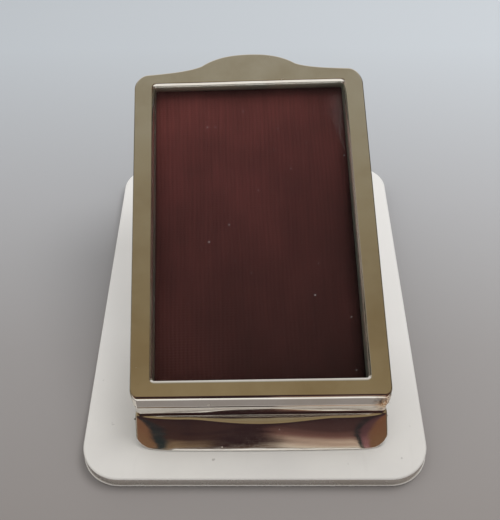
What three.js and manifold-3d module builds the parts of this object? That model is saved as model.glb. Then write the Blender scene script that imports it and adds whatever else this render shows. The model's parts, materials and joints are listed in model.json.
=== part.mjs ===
// A desk clip for papers whose sprung upper arm carries a small glazed photograph frame.
// Millimetres. +Z is up, +Y runs from the jaw to the thumb press, and the origin is the middle of the
// base's underside. The papers go in under the jaw, at -Y.
import * as THREE from "three";
import { mergeVertices } from "three/addons/utils/BufferGeometryUtils.js";
import Module from "manifold-3d";

const wasm = await Module();
wasm.setup();

// Base plate: a sheet with a turned-down rim, and a pad let into its underside
const plateWidth = 76.2;
const plateLength = 101.6;
const plateCornerRadius = 8.8;
const plateSheet = 0.9;
const rimHeight = 3.0;
const rimEdgeRadius = 0.7;
const padProud = 0.3;
const padSideClearance = 0.3;

// The clip unit stands slightly askew on the plate, turned about this point of its middle line
const clipSkewDegrees = 2.17;
const clipCentreY = 1.7;

// Arm: a sheet whose near end curves down into a jaw. The jaw stands on the plate at rest, set back
// from the plate's near edge, and leans back by this much at its foot.
const jawSetback = 7.35;
const jawRadius = 8.95;
const jawLeanDegrees = 18;
const jawCornerRadius = 3.5;
const jawFootGap = 0.15;
const ledgeLength = 0.3;
const armTiltDegrees = 22.3;
const armSheet = 0.9;
const armSideInset = 0.4;
const armTailInset = 1.5;
const cheekLength = 12.0;

// Hinge: two lugs on the plate, two on the arm, a riveted pin, a sleeve and a torsion spring
const hingeSetback = 40.0;
const hingeHeight = 10.8;
const lugRadius = 4.0;
const lugSheet = 1.3;
const lugFootLength = 13.0;
const lugFootWidth = 5.0;
const armLugInset = 11.0;
const lugSideGap = 0.3;
const pinRadius = 1.5;
const pinClearance = 0.05;
const pinHeadRadius = 2.5;
const pinHeadHeight = 1.0;
const pinHeadGap = 0.1;
const sleeveWall = 0.8;
const sleeveEndGap = 0.2;

const springWire = 1.1;
const springSlack = 0.8;
const springPitch = 1.7;
const springTurns = 8;
const springLowerReach = 15.0;
const springUpperReach = 14.0;
const springFootLength = 2.4;
const springBend = 1.2;
const springSteps = 8;
const springSides = 5;

// Frame: a pressed silver front over three wooden rails, open at its far end
const frameWidth = 56.3;
const frameLength = 80.0;
const frameDepth = 6.8;
const faceSheet = 1.0;
const wallSheet = 0.8;
const faceEdgeRadius = 0.7;
const nearCornerRadius = 1.65;
const farCornerRadius = 3.5;
const sideStripWidth = 5.05;
const nearStripWidth = 3.7;
const farStripWidth = 2.8;
const windowBevel = 0.75;
const windowCornerRadius = 0.7;
const windowDepth = 2.4;
const windowLip = 0.8;
const domeWidth = 23.4;
const domeRise = 5.0;
const shoulderRise = 1.95;

// Where the thumb press's curves are pulled to: the ogee, as shares of the way in from the corner to
// the dome's foot and of the shoulder's rise, the dome's side and its crown as shares of its half
// width and of its own rise
const ogeePull = [0.74, 0.24];
const domePull = [0.72, 0.75];
const crownPull = 0.4;

// Frame filling: rails, and the pack of glass, cloth and board that slides out at the far end
const seatGap = 0.3;
const railWidth = 2.0;
const nearRailThickness = 1.2;
const glassThickness = 1.5;
const clothThickness = 0.4;
const packInset = 1.0;

// Fasteners
const sidePinRadius = 0.35;
const sidePinHeadRadius = 0.8;
const sidePinHeadHeight = 0.3;
const sidePinLength = 2.4;
const sidePinCount = 3;
const sidePinNearInset = 14;
const sidePinFarInset = 12.5;
const screwRadius = 0.5;
const screwHeadRadius = 1.2;
const screwHeadHeight = 0.8;
const screwLength = 3.2;
const screwCount = 2;
const screwNearInset = 24;
const screwFarInset = 21;
const holeClearance = 0.1;

// A head's crown, from its middle to its rim, as shares of the head's radius and of its height
const rivetCrown = [[0, 1], [0.55, 0.88], [0.88, 0.55], [1, 0.2]];
const pinCrown = [[0, 1], [0.7, 0.75], [1, 0]];
const screwCrown = [[0, 1], [0.5, 0.9], [0.9, 0.55], [1, 0]];

// How far a cutting solid runs past what it cuts, and how finely round stretches are drawn
const past = 1;
const cornerSteps = 8;
const edgeSteps = 4;
const pinSides = 32;
const smallSides = 12;

// Worked out from the sizes above
const plateTop = padProud + rimHeight;
const tilt = THREE.MathUtils.degToRad(armTiltDegrees);
const lean = THREE.MathUtils.degToRad(jawLeanDegrees);
const armWidth = frameWidth - 2 * armSideInset;
const armTop = -seatGap;
const armUnder = armTop - armSheet;
const jawFootY = jawSetback - plateLength / 2 - clipCentreY;
const jawCentreY = jawFootY + jawRadius * Math.cos(lean);
const jawCentreHeight = -jawRadius * Math.sin(lean);
const jawTopY = jawCentreY - jawRadius * Math.sin(tilt);
const jawTopHeight = jawCentreHeight + jawRadius * Math.cos(tilt);
const ledgeFootY = jawTopY + ledgeLength * Math.cos(tilt) + armTop * Math.sin(tilt);
const ledgeFootHeight = jawTopHeight + ledgeLength * Math.sin(tilt) - armTop * Math.cos(tilt);
const hingeY = jawFootY + hingeSetback;
const lugMiddle = (hingeY - ledgeFootY) * Math.cos(tilt) + (hingeHeight - ledgeFootHeight) * Math.sin(tilt);
const faceNear = frameDepth * Math.tan(tilt);
const faceFar = faceNear + frameLength;
const armTailLength = faceFar - armTailInset;
const windowNear = faceNear + nearStripWidth;
const windowFar = faceFar - farStripWidth;
const windowHalfWidth = frameWidth / 2 - sideStripWidth;
const sidePinPlaces = evenly(sidePinNearInset, faceFar - sidePinFarInset, sidePinCount);
const screwPlaces = evenly(screwNearInset, armTailLength - screwFarInset, screwCount);
const armLugOuter = armLugInset + lugSheet;
const baseLugInset = armLugOuter + lugSideGap;
const baseLugOuter = baseLugInset + lugSheet;
const sleeveInner = pinRadius + pinClearance;
const sleeveOuter = sleeveInner + sleeveWall;
const springRadius = sleeveOuter + springSlack + springWire / 2;
const innerTop = frameDepth - faceSheet;
const railOuter = frameWidth / 2 - wallSheet - seatGap;
const railInner = railOuter - railWidth;
const railMiddle = (railInner + railOuter) / 2;
const railFar = faceFar - farCornerRadius;
const railTop = innerTop - seatGap;
const lipFoot = frameDepth - windowDepth;
const packTop = lipFoot - seatGap;
const packHalfWidth = railInner - seatGap;
const nearRailFar = windowNear - packInset - seatGap;
const packNear = nearRailFar + seatGap;
const packFar = faceFar - packInset;
const glassBottom = packTop - glassThickness;
const clothBottom = glassBottom - seatGap - clothThickness;
const boardTop = clothBottom - seatGap;

const silver = { color: 0xc9c7c0, roughness: 0.12, metalness: 1 };
const satinSilver = { color: 0xccc7c2, roughness: 0.4, metalness: 1 };
const warmSilver = { color: 0xb9ae96, roughness: 0.14, metalness: 1 };
const steel = { color: 0x8d8f92, roughness: 0.35, metalness: 1 };
const brass = { color: 0xb39a5a, roughness: 0.3, metalness: 1 };
const wood = { color: 0x7a5534, roughness: 0.7, metalness: 0 };
const glass = { color: 0xe8eeee, roughness: 0.05, metalness: 0, transparent: true, opacity: 0.3 };
const maroonCloth = { color: 0x4a2423, roughness: 0.95, metalness: 0 };
const card = { color: 0x8a7a62, roughness: 0.9, metalness: 0 };
const baize = { color: 0x25382b, roughness: 1, metalness: 0 };

// Places spread evenly from the first to the last
function evenly(first, last, count) {
  return Array.from({ length: count }, (_, i) => first + ((last - first) * i) / Math.max(count - 1, 1));
}

// Solids: three.js geometry in and out of the boolean library

function solidOf(geometry) {
  const bare = geometry.clone();
  bare.deleteAttribute("normal");
  bare.deleteAttribute("uv");
  const merged = mergeVertices(bare, 1e-4);
  return new wasm.Manifold(
    new wasm.Mesh({
      numProp: 3,
      vertProperties: new Float32Array(merged.attributes.position.array),
      triVerts: new Uint32Array(merged.index.array),
    }),
  );
}

function geometryOf(solid) {
  const mesh = solid.getMesh();
  const geometry = new THREE.BufferGeometry();
  geometry.setAttribute("position", new THREE.BufferAttribute(mesh.vertProperties, 3));
  geometry.setIndex(new THREE.BufferAttribute(mesh.triVerts, 1));
  geometry.computeVertexNormals();
  return geometry;
}

function cut(solid, tools) {
  return tools.reduce((rest, tool) => rest.subtract(tool), solid);
}

function capFaces(ring) {
  const flat = ring.map((p) => new THREE.Vector2(p.x, p.y));
  return THREE.ShapeUtils.triangulateShape(flat, []).map(([a, b, c]) => {
    const turn = flat[b].clone().sub(flat[a]).cross(flat[c].clone().sub(flat[a]));
    return turn > 0 ? [a, b, c] : [a, c, b];
  });
}

// Closed rings of equal count, each flat and counter-clockwise from above, joined from the lowest up
function loft(rings) {
  const count = rings[0].length;
  const index = [];
  for (let level = 0; level + 1 < rings.length; level++) {
    for (let i = 0; i < count; i++) {
      const a = level * count + i;
      const b = level * count + ((i + 1) % count);
      index.push(a, b, b + count, a, b + count, a + count);
    }
  }
  const last = (rings.length - 1) * count;
  capFaces(rings[0]).forEach(([a, b, c]) => index.push(a, c, b));
  capFaces(rings[rings.length - 1]).forEach(([a, b, c]) => index.push(last + a, last + b, last + c));
  const geometry = new THREE.BufferGeometry();
  const positions = rings.flat().flatMap((p) => [p.x, p.y, p.z]);
  geometry.setAttribute("position", new THREE.Float32BufferAttribute(positions, 3));
  geometry.setIndex(index);
  return solidOf(geometry);
}

function cornerArc(x, y, radius, from, steps) {
  return Array.from({ length: steps + 1 }, (_, i) => {
    const angle = from + (i / steps) * (Math.PI / 2);
    return new THREE.Vector2(x + radius * Math.cos(angle), y + radius * Math.sin(angle));
  });
}

// A rounded oblong, counter-clockwise, with its own radius at the near and the far corners
function oblong(halfWidth, near, far, nearRadius, farRadius, steps = cornerSteps) {
  const least = 0.01;
  const rn = Math.max(nearRadius, least);
  const rf = Math.max(farRadius, least);
  return [
    ...cornerArc(halfWidth - rn, near + rn, rn, -Math.PI / 2, steps),
    ...cornerArc(halfWidth - rf, far - rf, rf, 0, steps),
    ...cornerArc(-halfWidth + rf, far - rf, rf, Math.PI / 2, steps),
    ...cornerArc(-halfWidth + rn, near + rn, rn, Math.PI, steps),
  ];
}

function atHeight(outline, z) {
  return outline.map((p) => new THREE.Vector3(p.x, p.y, z));
}

// The rings of an upper edge rounded over to the height given, for a ring function of (inset, z)
function roundedEdge(ring, radius, top) {
  return Array.from({ length: edgeSteps + 1 }, (_, i) => {
    const angle = (i / edgeSteps) * (Math.PI / 2);
    return ring(radius * (1 - Math.cos(angle)), top - radius * (1 - Math.sin(angle)));
  });
}

function block(halfWidth, near, far, low, high) {
  return loft([low, high].map((z) => atHeight(oblong(halfWidth, near, far, 0, 0, 1), z)));
}

function polygon(corners) {
  return new THREE.Shape(corners);
}

// The stretch of x from inner to outer on the left or the right side
function span(side, inner, outer) {
  return side > 0 ? [inner, outer] : [-outer, -inner];
}

// A side profile, drawn as (y, z), stretched across x
function across(profile, fromX, toX) {
  const geometry = new THREE.ExtrudeGeometry(profile, {
    depth: toX - fromX,
    bevelEnabled: false,
    curveSegments: 16,
  });
  const sideways = new THREE.Matrix4().makeBasis(
    new THREE.Vector3(0, 1, 0),
    new THREE.Vector3(0, 0, 1),
    new THREE.Vector3(1, 0, 0),
  );
  return solidOf(geometry.applyMatrix4(sideways).translate(fromX, 0, 0));
}

function rod(radius, from, to, sides) {
  const along = new THREE.Vector3().subVectors(to, from);
  const direction = along.clone().normalize();
  const turn = new THREE.Quaternion().setFromUnitVectors(new THREE.Vector3(0, 1, 0), direction);
  const geometry = new THREE.CylinderGeometry(radius, radius, along.length(), sides);
  geometry.applyQuaternion(turn).translate(...from.clone().lerp(to, 0.5).toArray());
  return solidOf(geometry);
}

// A turned piece: (radius, distance along) pairs that start and end on the axis or close on themselves
function turned(profile, axis, sides) {
  const points = profile.map(([r, along]) => new THREE.Vector2(r, along));
  const geometry = new THREE.LatheGeometry(points, sides);
  const turn = new THREE.Quaternion().setFromUnitVectors(new THREE.Vector3(0, 1, 0), axis);
  return geometry.applyQuaternion(turn);
}

// A pin or screw as (radius, distance along): its shank runs back from the head
function headed(shankRadius, shankLength, headRadius, headHeight, crown) {
  const head = crown.map(([r, h]) => [headRadius * r, holeClearance + headHeight * h]);
  return [[0, -shankLength], [shankRadius, -shankLength], [shankRadius, holeClearance], ...head.reverse()];
}

// A round wire through a list of points, with flat ends
function wireTube(points, radius, sides) {
  const tangents = points.map((p, i) =>
    new THREE.Vector3()
      .subVectors(points[Math.min(i + 1, points.length - 1)], points[Math.max(i - 1, 0)])
      .normalize(),
  );
  const positions = [];
  let normal = new THREE.Vector3(1, 0, 0);
  points.forEach((p, i) => {
    normal.addScaledVector(tangents[i], -normal.dot(tangents[i])).normalize();
    const side = new THREE.Vector3().crossVectors(tangents[i], normal);
    for (let k = 0; k < sides; k++) {
      const angle = (k / sides) * 2 * Math.PI;
      const at = p
        .clone()
        .addScaledVector(normal, radius * Math.cos(angle))
        .addScaledVector(side, radius * Math.sin(angle));
      positions.push(at.x, at.y, at.z);
    }
  });
  const index = [];
  for (let ring = 0; ring + 1 < points.length; ring++) {
    for (let k = 0; k < sides; k++) {
      const a = ring * sides + k;
      const b = ring * sides + ((k + 1) % sides);
      index.push(a, b, b + sides, a, b + sides, a + sides);
    }
  }
  const last = (points.length - 1) * sides;
  for (let k = 1; k + 1 < sides; k++) {
    index.push(0, k + 1, k);
    index.push(last, last + k, last + k + 1);
  }
  const geometry = new THREE.BufferGeometry();
  geometry.setAttribute("position", new THREE.Float32BufferAttribute(positions, 3));
  geometry.setIndex(index);
  geometry.computeVertexNormals();
  return geometry;
}

// A point of the arm's own frame in the clip's side view: v runs up the arm from the ledge's foot,
// and n stands square to it
function onArm(v, n) {
  return new THREE.Vector2(
    ledgeFootY + v * Math.cos(tilt) - n * Math.sin(tilt),
    ledgeFootHeight + v * Math.sin(tilt) + n * Math.cos(tilt),
  );
}

function mesh(name, geometry, look) {
  const made = new THREE.Mesh(geometry, new THREE.MeshStandardMaterial(look));
  made.name = name;
  made.geometry.computeVertexNormals();
  return made;
}

// Base

function plateRing(inset, z) {
  const far = plateLength / 2 - inset;
  const radius = plateCornerRadius - inset;
  return atHeight(oblong(plateWidth / 2 - inset, -far, far, radius, radius), z);
}

function basePlate() {
  const rings = [plateRing(0, padProud), ...roundedEdge(plateRing, rimEdgeRadius, plateTop)];
  const hollow = loft([plateRing(plateSheet, -past), plateRing(plateSheet, plateTop - plateSheet)]);
  return mesh("base_plate", geometryOf(loft(rings).subtract(hollow)), satinSilver);
}

function basePad() {
  const inset = plateSheet + padSideClearance;
  const solid = loft([plateRing(inset, 0), plateRing(inset, plateTop - plateSheet)]);
  return mesh("base_pad", geometryOf(solid), baize);
}

// Hinge, in the clip's frame: its z is measured from the plate's top face

const hingeAxis = new THREE.Vector3(1, 0, 0);

function pinHole() {
  const reach = baseLugOuter + past;
  const [left, right] = [-reach, reach].map((x) => new THREE.Vector3(x, hingeY, hingeHeight));
  return rod(pinRadius + pinClearance, left, right, pinSides);
}

function baseLug(name, side) {
  const web = new THREE.Shape();
  web.moveTo(hingeY - lugFootLength / 2, 0);
  web.lineTo(hingeY + lugFootLength / 2, 0);
  web.lineTo(hingeY + lugRadius, hingeHeight);
  web.absarc(hingeY, hingeHeight, lugRadius, 0, Math.PI, false);
  web.closePath();
  const near = hingeY - lugFootLength / 2;
  const far = hingeY + lugFootLength / 2;
  const foot = polygon([
    new THREE.Vector2(near, 0),
    new THREE.Vector2(far, 0),
    new THREE.Vector2(far, lugSheet),
    new THREE.Vector2(near, lugSheet),
  ]);
  const solid = across(web, ...span(side, baseLugInset, baseLugOuter))
    .add(across(foot, ...span(side, baseLugInset, baseLugInset + lugFootWidth)))
    .subtract(pinHole());
  return mesh(name, geometryOf(solid), silver);
}

function armLug(name, side) {
  const seat = armUnder - seatGap;
  const near = lugMiddle - lugFootLength / 2;
  const far = lugMiddle + lugFootLength / 2;
  const [nearTop, farTop] = [onArm(near, seat), onArm(far, seat)];
  const web = new THREE.Shape();
  web.moveTo(nearTop.x, nearTop.y);
  web.absarc(hingeY, hingeHeight, lugRadius, Math.PI + tilt, 2 * Math.PI + tilt, false);
  web.lineTo(farTop.x, farTop.y);
  web.closePath();
  const foot = polygon([nearTop, onArm(near, seat - lugSheet), onArm(far, seat - lugSheet), farTop]);
  const solid = across(web, ...span(side, armLugInset, armLugOuter))
    .add(across(foot, ...span(side, armLugInset, armLugInset + lugFootWidth)))
    .subtract(pinHole());
  return mesh(name, geometryOf(solid), silver);
}

function hingePin() {
  const seat = baseLugOuter + pinHeadGap;
  const crown = rivetCrown.map(([r, h]) => [pinHeadRadius * r, seat + pinHeadHeight * h]);
  const half = [...crown, [pinHeadRadius, seat], [pinRadius, seat]];
  const profile = [...half.map(([r, x]) => [r, -x]), ...half.slice().reverse()];
  const geometry = turned(profile, hingeAxis, pinSides).translate(0, hingeY, hingeHeight);
  return mesh("hinge_pin", geometryOf(solidOf(geometry)), steel);
}

function spacerSleeve() {
  const end = armLugInset - sleeveEndGap;
  const profile = [
    [sleeveInner, -end],
    [sleeveOuter, -end],
    [sleeveOuter, end],
    [sleeveInner, end],
    [sleeveInner, -end],
  ];
  const geometry = turned(profile, hingeAxis, pinSides).translate(0, hingeY, hingeHeight);
  return mesh("spacer_sleeve", geometryOf(solidOf(geometry)), brass);
}

// The angle at which a straight leg from a point leaves the coil's circle
function tangentAngle(point, sign) {
  return Math.atan2(point.y, point.x) + sign * Math.acos(springRadius / point.length());
}

// The two legs press the plate and the arm apart behind the pin, so that the jaw closes
function springPath() {
  const lowerEnd = new THREE.Vector2(springLowerReach, seatGap - hingeHeight);
  const lowerKnee = lowerEnd.clone().add(new THREE.Vector2(0, springFootLength));
  const square = new THREE.Vector2(-Math.sin(tilt), Math.cos(tilt));
  const pin = new THREE.Vector2(hingeY, hingeHeight);
  const upperEnd = onArm(lugMiddle + springUpperReach, armUnder - seatGap).sub(pin);
  const upperKnee = upperEnd.clone().addScaledVector(square, -springFootLength);
  const start = tangentAngle(lowerKnee, -1);
  const finish = tangentAngle(upperKnee, 1) - 2 * Math.PI * (springTurns + 1);
  const sweep = finish - start;
  const turns = Math.abs(sweep) / (2 * Math.PI);
  const steps = Math.ceil(turns * springSteps);
  const side = (turns * springPitch) / 2;
  const at = (x, p) => new THREE.Vector3(x, hingeY + p.x, hingeHeight + p.y);
  const coilPoint = (angle) => new THREE.Vector2(springRadius, 0).rotateAround(new THREE.Vector2(), angle);
  const knee = (before, corner, after, x) => {
    const from = corner.clone().addScaledVector(before.clone().sub(corner).normalize(), springBend);
    const to = corner.clone().addScaledVector(after.clone().sub(corner).normalize(), springBend);
    const curve = new THREE.QuadraticBezierCurve(from, corner, to);
    return curve.getPoints(edgeSteps).map((p) => at(x, p));
  };
  const points = [at(-side, lowerEnd), ...knee(lowerEnd, lowerKnee, coilPoint(start), -side)];
  for (let i = 0; i <= steps; i++) {
    const share = i / steps;
    points.push(at((2 * share - 1) * side, coilPoint(start + sweep * share)));
  }
  points.push(...knee(coilPoint(finish), upperKnee, upperEnd, side), at(side, upperEnd));
  return points;
}

function leastCoilGap(points) {
  let least = Infinity;
  for (let i = 0; i < points.length; i++) {
    for (let j = i + Math.ceil(springSteps / 2); j < points.length; j++) {
      least = Math.min(least, points[i].distanceTo(points[j]) - springWire);
    }
  }
  return least;
}

function torsionSpring() {
  const points = springPath();
  console.log("torsion_spring: least gap between its turns " + leastCoilGap(points).toFixed(2) + " mm");
  return mesh("torsion_spring", wireTube(points, springWire / 2, springSides), steel);
}

// Arm, in the clip's frame

// The arm's outer form, drawn in by an inset: rings that follow the jaw's curve up from under the
// plate's face, each with the jaw's rounded upright corners
function armColumn(inset) {
  const radius = jawRadius - inset;
  const far = onArm(armTailLength, armUnder).x + past;
  const ring = (near, z) =>
    atHeight(oblong(armWidth / 2 - inset, near, far, jawCornerRadius - inset, 0), z);
  const lowest = Math.asin((-past - jawCentreHeight) / radius);
  const highest = Math.PI / 2 - tilt;
  const rings = Array.from({ length: cornerSteps + 1 }, (_, i) => {
    const angle = lowest + ((highest - lowest) * i) / cornerSteps;
    return ring(jawCentreY - radius * Math.cos(angle), jawCentreHeight + radius * Math.sin(angle));
  });
  const top = onArm(armTailLength, armTop).y + past;
  return loft([...rings, ring(jawCentreY - radius * Math.cos(highest), top)]);
}

// Seen from the side: under the arm's top face, over the cheeks' slanting lower edges
function armProfile() {
  const near = onArm(-ledgeLength - jawRadius, armTop);
  const heel = jawFootY + armSheet / Math.cos(lean) + jawCornerRadius;
  return polygon([
    near,
    new THREE.Vector2(near.x, jawFootGap),
    new THREE.Vector2(heel, jawFootGap),
    onArm(cheekLength, armUnder),
    onArm(armTailLength, armUnder),
    onArm(armTailLength, armTop),
  ]);
}

function underArm() {
  const near = onArm(-ledgeLength - jawRadius, armUnder);
  const far = onArm(armTailLength + past, armUnder);
  return polygon([near, new THREE.Vector2(near.x, -past), new THREE.Vector2(far.x, -past), far]);
}

function armScrewHole(side, place) {
  const ends = [onArm(place, armUnder - past), onArm(place, armTop + past)];
  const [low, high] = ends.map((p) => new THREE.Vector3(side * railMiddle, p.x, p.y));
  return rod(screwRadius + holeClearance, low, high, smallSides);
}

function clipArm() {
  const half = armWidth / 2;
  const shell = armColumn(0).intersect(across(armProfile(), -half, half));
  const hollow = armColumn(armSheet).intersect(across(underArm(), -half, half));
  const holes = [-1, 1].flatMap((side) => screwPlaces.map((place) => armScrewHole(side, place)));
  return mesh("clip_arm", geometryOf(cut(shell.subtract(hollow), holes)), silver);
}

// Frame, in the arm's frame: x across, y up the arm from the ledge's foot, z square to it

// The near edge steps back as it rises, so that it stands upright on the sloping arm
function faceOutline(inset, z) {
  const near = z * Math.tan(tilt) + inset;
  const [nearRadius, farRadius] = [nearCornerRadius - inset, farCornerRadius - inset];
  return atHeight(oblong(frameWidth / 2 - inset, near, faceFar - inset, nearRadius, farRadius), z);
}

// The far edge sweeps up in an ogee from each rounded corner to the domed thumb press
function thumbPress() {
  const corner = frameWidth / 2 - farCornerRadius;
  const foot = domeWidth / 2;
  const shoulder = faceFar + shoulderRise;
  const top = faceFar + domeRise;
  const sweepX = corner + (foot - corner) * ogeePull[0];
  const sweepY = faceFar + shoulderRise * ogeePull[1];
  const riseX = foot * domePull[0];
  const riseY = shoulder + (domeRise - shoulderRise) * domePull[1];
  const outline = polygon([new THREE.Vector2(-corner, railFar), new THREE.Vector2(corner, railFar)]);
  outline.lineTo(corner, faceFar);
  outline.quadraticCurveTo(sweepX, sweepY, foot, shoulder);
  outline.bezierCurveTo(riseX, riseY, foot * crownPull, top, 0, top);
  outline.bezierCurveTo(-foot * crownPull, top, -riseX, riseY, -foot, shoulder);
  outline.quadraticCurveTo(-sweepX, sweepY, -corner, faceFar);
  outline.closePath();
  const sheet = { depth: faceSheet, bevelEnabled: false, curveSegments: cornerSteps };
  return solidOf(new THREE.ExtrudeGeometry(outline, sheet).translate(0, 0, innerTop));
}

function sidePinHole(side, place) {
  const ends = [frameWidth / 2 - sidePinLength - holeClearance, frameWidth / 2 + past];
  const [inner, outer] = ends.map((x) => new THREE.Vector3(side * x, place, railTop / 2));
  return rod(sidePinRadius + holeClearance, inner, outer, smallSides);
}

function railScrewHole(side, place) {
  const ends = [-past, armUnder + screwLength + holeClearance];
  const [low, high] = ends.map((z) => new THREE.Vector3(side * railMiddle, place, z));
  return rod(screwRadius + holeClearance, low, high, smallSides);
}

// The window's outline, grown on all sides
function windowRing(grow, z) {
  const radius = windowCornerRadius + grow;
  const [near, far] = [windowNear - grow, windowFar + grow];
  return atHeight(oblong(windowHalfWidth + grow, near, far, radius, radius, edgeSteps), z);
}

// The window is wider at the face than at the glass
function windowCut() {
  const slope = windowBevel / faceSheet;
  return loft([
    windowRing(0, lipFoot - past),
    windowRing(0, innerTop),
    windowRing(windowBevel + slope * past, frameDepth + past),
  ]);
}

// The sheet is turned down around the window, to just above the glass
function windowCollar() {
  return loft([windowRing(windowLip, lipFoot), windowRing(windowLip, innerTop + faceSheet / 2)]);
}

function frameFront() {
  const outer = [faceOutline(0, 0), ...roundedEdge(faceOutline, faceEdgeRadius, frameDepth)];
  const hollow = loft([faceOutline(wallSheet, -past), faceOutline(wallSheet, innerTop)]);
  const farSlot = block(railInner, railFar, faceFar + past, -past, innerTop);
  const pinHoles = [-1, 1].flatMap((side) => sidePinPlaces.map((place) => sidePinHole(side, place)));
  const box = cut(loft(outer).add(thumbPress()), [hollow, farSlot, ...pinHoles]);
  const solid = cut(box.add(windowCollar()), [windowCut()]);
  return mesh("frame_front", geometryOf(solid), warmSilver);
}

function sideRail(name, side) {
  const profile = polygon([
    new THREE.Vector2(packNear, 0),
    new THREE.Vector2(railFar, 0),
    new THREE.Vector2(railFar, railTop),
    new THREE.Vector2(packNear, railTop),
  ]);
  const pinHoles = sidePinPlaces.map((place) => sidePinHole(side, place));
  const holes = screwPlaces.map((place) => railScrewHole(side, place));
  const solid = cut(across(profile, ...span(side, railInner, railOuter)), [...pinHoles, ...holes]);
  return mesh(name, geometryOf(solid), wood);
}

function nearRail() {
  const near = wallSheet / Math.cos(tilt) + seatGap;
  const topNear = Math.min(near + railTop * Math.tan(tilt), nearRailFar - nearRailThickness);
  const profile = polygon([
    new THREE.Vector2(near, 0),
    new THREE.Vector2(nearRailFar, 0),
    new THREE.Vector2(nearRailFar, railTop),
    new THREE.Vector2(topNear, railTop),
  ]);
  return mesh("near_rail", geometryOf(across(profile, -railOuter, railOuter)), wood);
}

function packSheet(name, low, high, look) {
  return mesh(name, geometryOf(block(packHalfWidth, packNear, packFar, low, high)), look);
}

function sidePin(name, side, place) {
  const profile = headed(sidePinRadius, sidePinLength, sidePinHeadRadius, sidePinHeadHeight, pinCrown);
  const geometry = turned(profile, new THREE.Vector3(side, 0, 0), smallSides);
  geometry.translate(side * (frameWidth / 2), place, railTop / 2);
  return mesh(name, geometryOf(solidOf(geometry)), silver);
}

function armScrew(name, side, place) {
  const profile = headed(screwRadius, screwLength, screwHeadRadius, screwHeadHeight, screwCrown);
  const geometry = turned(profile, new THREE.Vector3(0, 0, -1), smallSides);
  geometry.translate(side * railMiddle, place, armUnder);
  return mesh(name, geometryOf(solidOf(geometry)), brass);
}

// Assembly

const object = new THREE.Group();
object.add(basePlate(), basePad());

const clip = new THREE.Group();
clip.position.set(0, clipCentreY, plateTop);
clip.rotation.z = THREE.MathUtils.degToRad(clipSkewDegrees);
clip.add(
  baseLug("base_lug_left", -1),
  baseLug("base_lug_right", 1),
  hingePin(),
  spacerSleeve(),
  torsionSpring(),
  armLug("arm_lug_left", -1),
  armLug("arm_lug_right", 1),
  clipArm(),
);
object.add(clip);

const frame = new THREE.Group();
frame.position.set(0, ledgeFootY, ledgeFootHeight);
frame.rotation.x = tilt;
frame.add(
  frameFront(),
  sideRail("side_rail_left", -1),
  sideRail("side_rail_right", 1),
  nearRail(),
  packSheet("backing_board", 0, boardTop, card),
  packSheet("backing_cloth", clothBottom, clothBottom + clothThickness, maroonCloth),
  packSheet("glass_pane", glassBottom, packTop, glass),
);
for (const [side, word] of [[-1, "left"], [1, "right"]]) {
  sidePinPlaces.forEach((place, i) => frame.add(sidePin("side_pin_" + word + "_" + (i + 1), side, place)));
  screwPlaces.forEach((place, i) => frame.add(armScrew("arm_screw_" + word + "_" + (i + 1), side, place)));
}
clip.add(frame);

export default object;
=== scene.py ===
# The looks of a desk photo clip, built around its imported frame. Metres; +Z up, +Y from jaw to thumb press.
import functools
import json
import math

import bmesh
import bpy
from mathutils import Matrix, Vector, noise
from mathutils.geometry import interpolate_bezier


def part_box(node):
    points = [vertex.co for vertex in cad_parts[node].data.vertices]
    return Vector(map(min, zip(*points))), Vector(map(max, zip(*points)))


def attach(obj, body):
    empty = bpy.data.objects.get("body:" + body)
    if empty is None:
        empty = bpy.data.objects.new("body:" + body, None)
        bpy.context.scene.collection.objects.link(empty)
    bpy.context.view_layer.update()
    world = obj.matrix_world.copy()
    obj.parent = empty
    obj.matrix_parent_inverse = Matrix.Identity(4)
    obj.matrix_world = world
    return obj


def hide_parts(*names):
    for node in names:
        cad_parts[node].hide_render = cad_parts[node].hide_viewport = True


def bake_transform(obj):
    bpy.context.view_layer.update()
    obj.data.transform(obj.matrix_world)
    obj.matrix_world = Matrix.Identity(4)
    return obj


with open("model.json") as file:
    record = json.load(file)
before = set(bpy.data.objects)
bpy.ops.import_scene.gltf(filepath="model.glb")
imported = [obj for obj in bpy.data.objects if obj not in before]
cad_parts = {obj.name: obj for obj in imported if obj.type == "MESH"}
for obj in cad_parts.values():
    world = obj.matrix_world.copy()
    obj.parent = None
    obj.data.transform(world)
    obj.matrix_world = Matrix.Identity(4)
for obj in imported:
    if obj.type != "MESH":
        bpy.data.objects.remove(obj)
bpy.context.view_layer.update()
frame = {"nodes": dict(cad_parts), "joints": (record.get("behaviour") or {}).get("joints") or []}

MM = 0.001

# Sizes that the frame doesn't say, as in the part. Lengths are metres and angles that aren't in radians say so.

# Where the clip stands on the plate, and where its picture frame starts
CLIP_CENTRE_Y = 1.7 * MM
LEDGE_FOOT_Y = -39.871 * MM
LEDGE_FOOT_HEIGHT = 5.906 * MM

# Sheets and gaps
SEAT_GAP = 0.3 * MM
SHEET = 0.9 * MM
FRONT_SHEET = 0.5 * MM
CLOTH_SHEET = 0.25 * MM
CLOTH_DROP = 0.1 * MM
PANE_CORNER = 0.3 * MM

# Base plate: its top edge is rounded over and its rim flares a little at the foot
PLATE_CORNER = 8.8 * MM
PLATE_EDGE = 0.35 * MM
RIM_FOOT = 0.35 * MM
RIM_FLARE = 0.15 * MM
RIM_WAVE = 0.10 * MM
RIM_WAVE_DEPTH = 4 * MM

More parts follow.
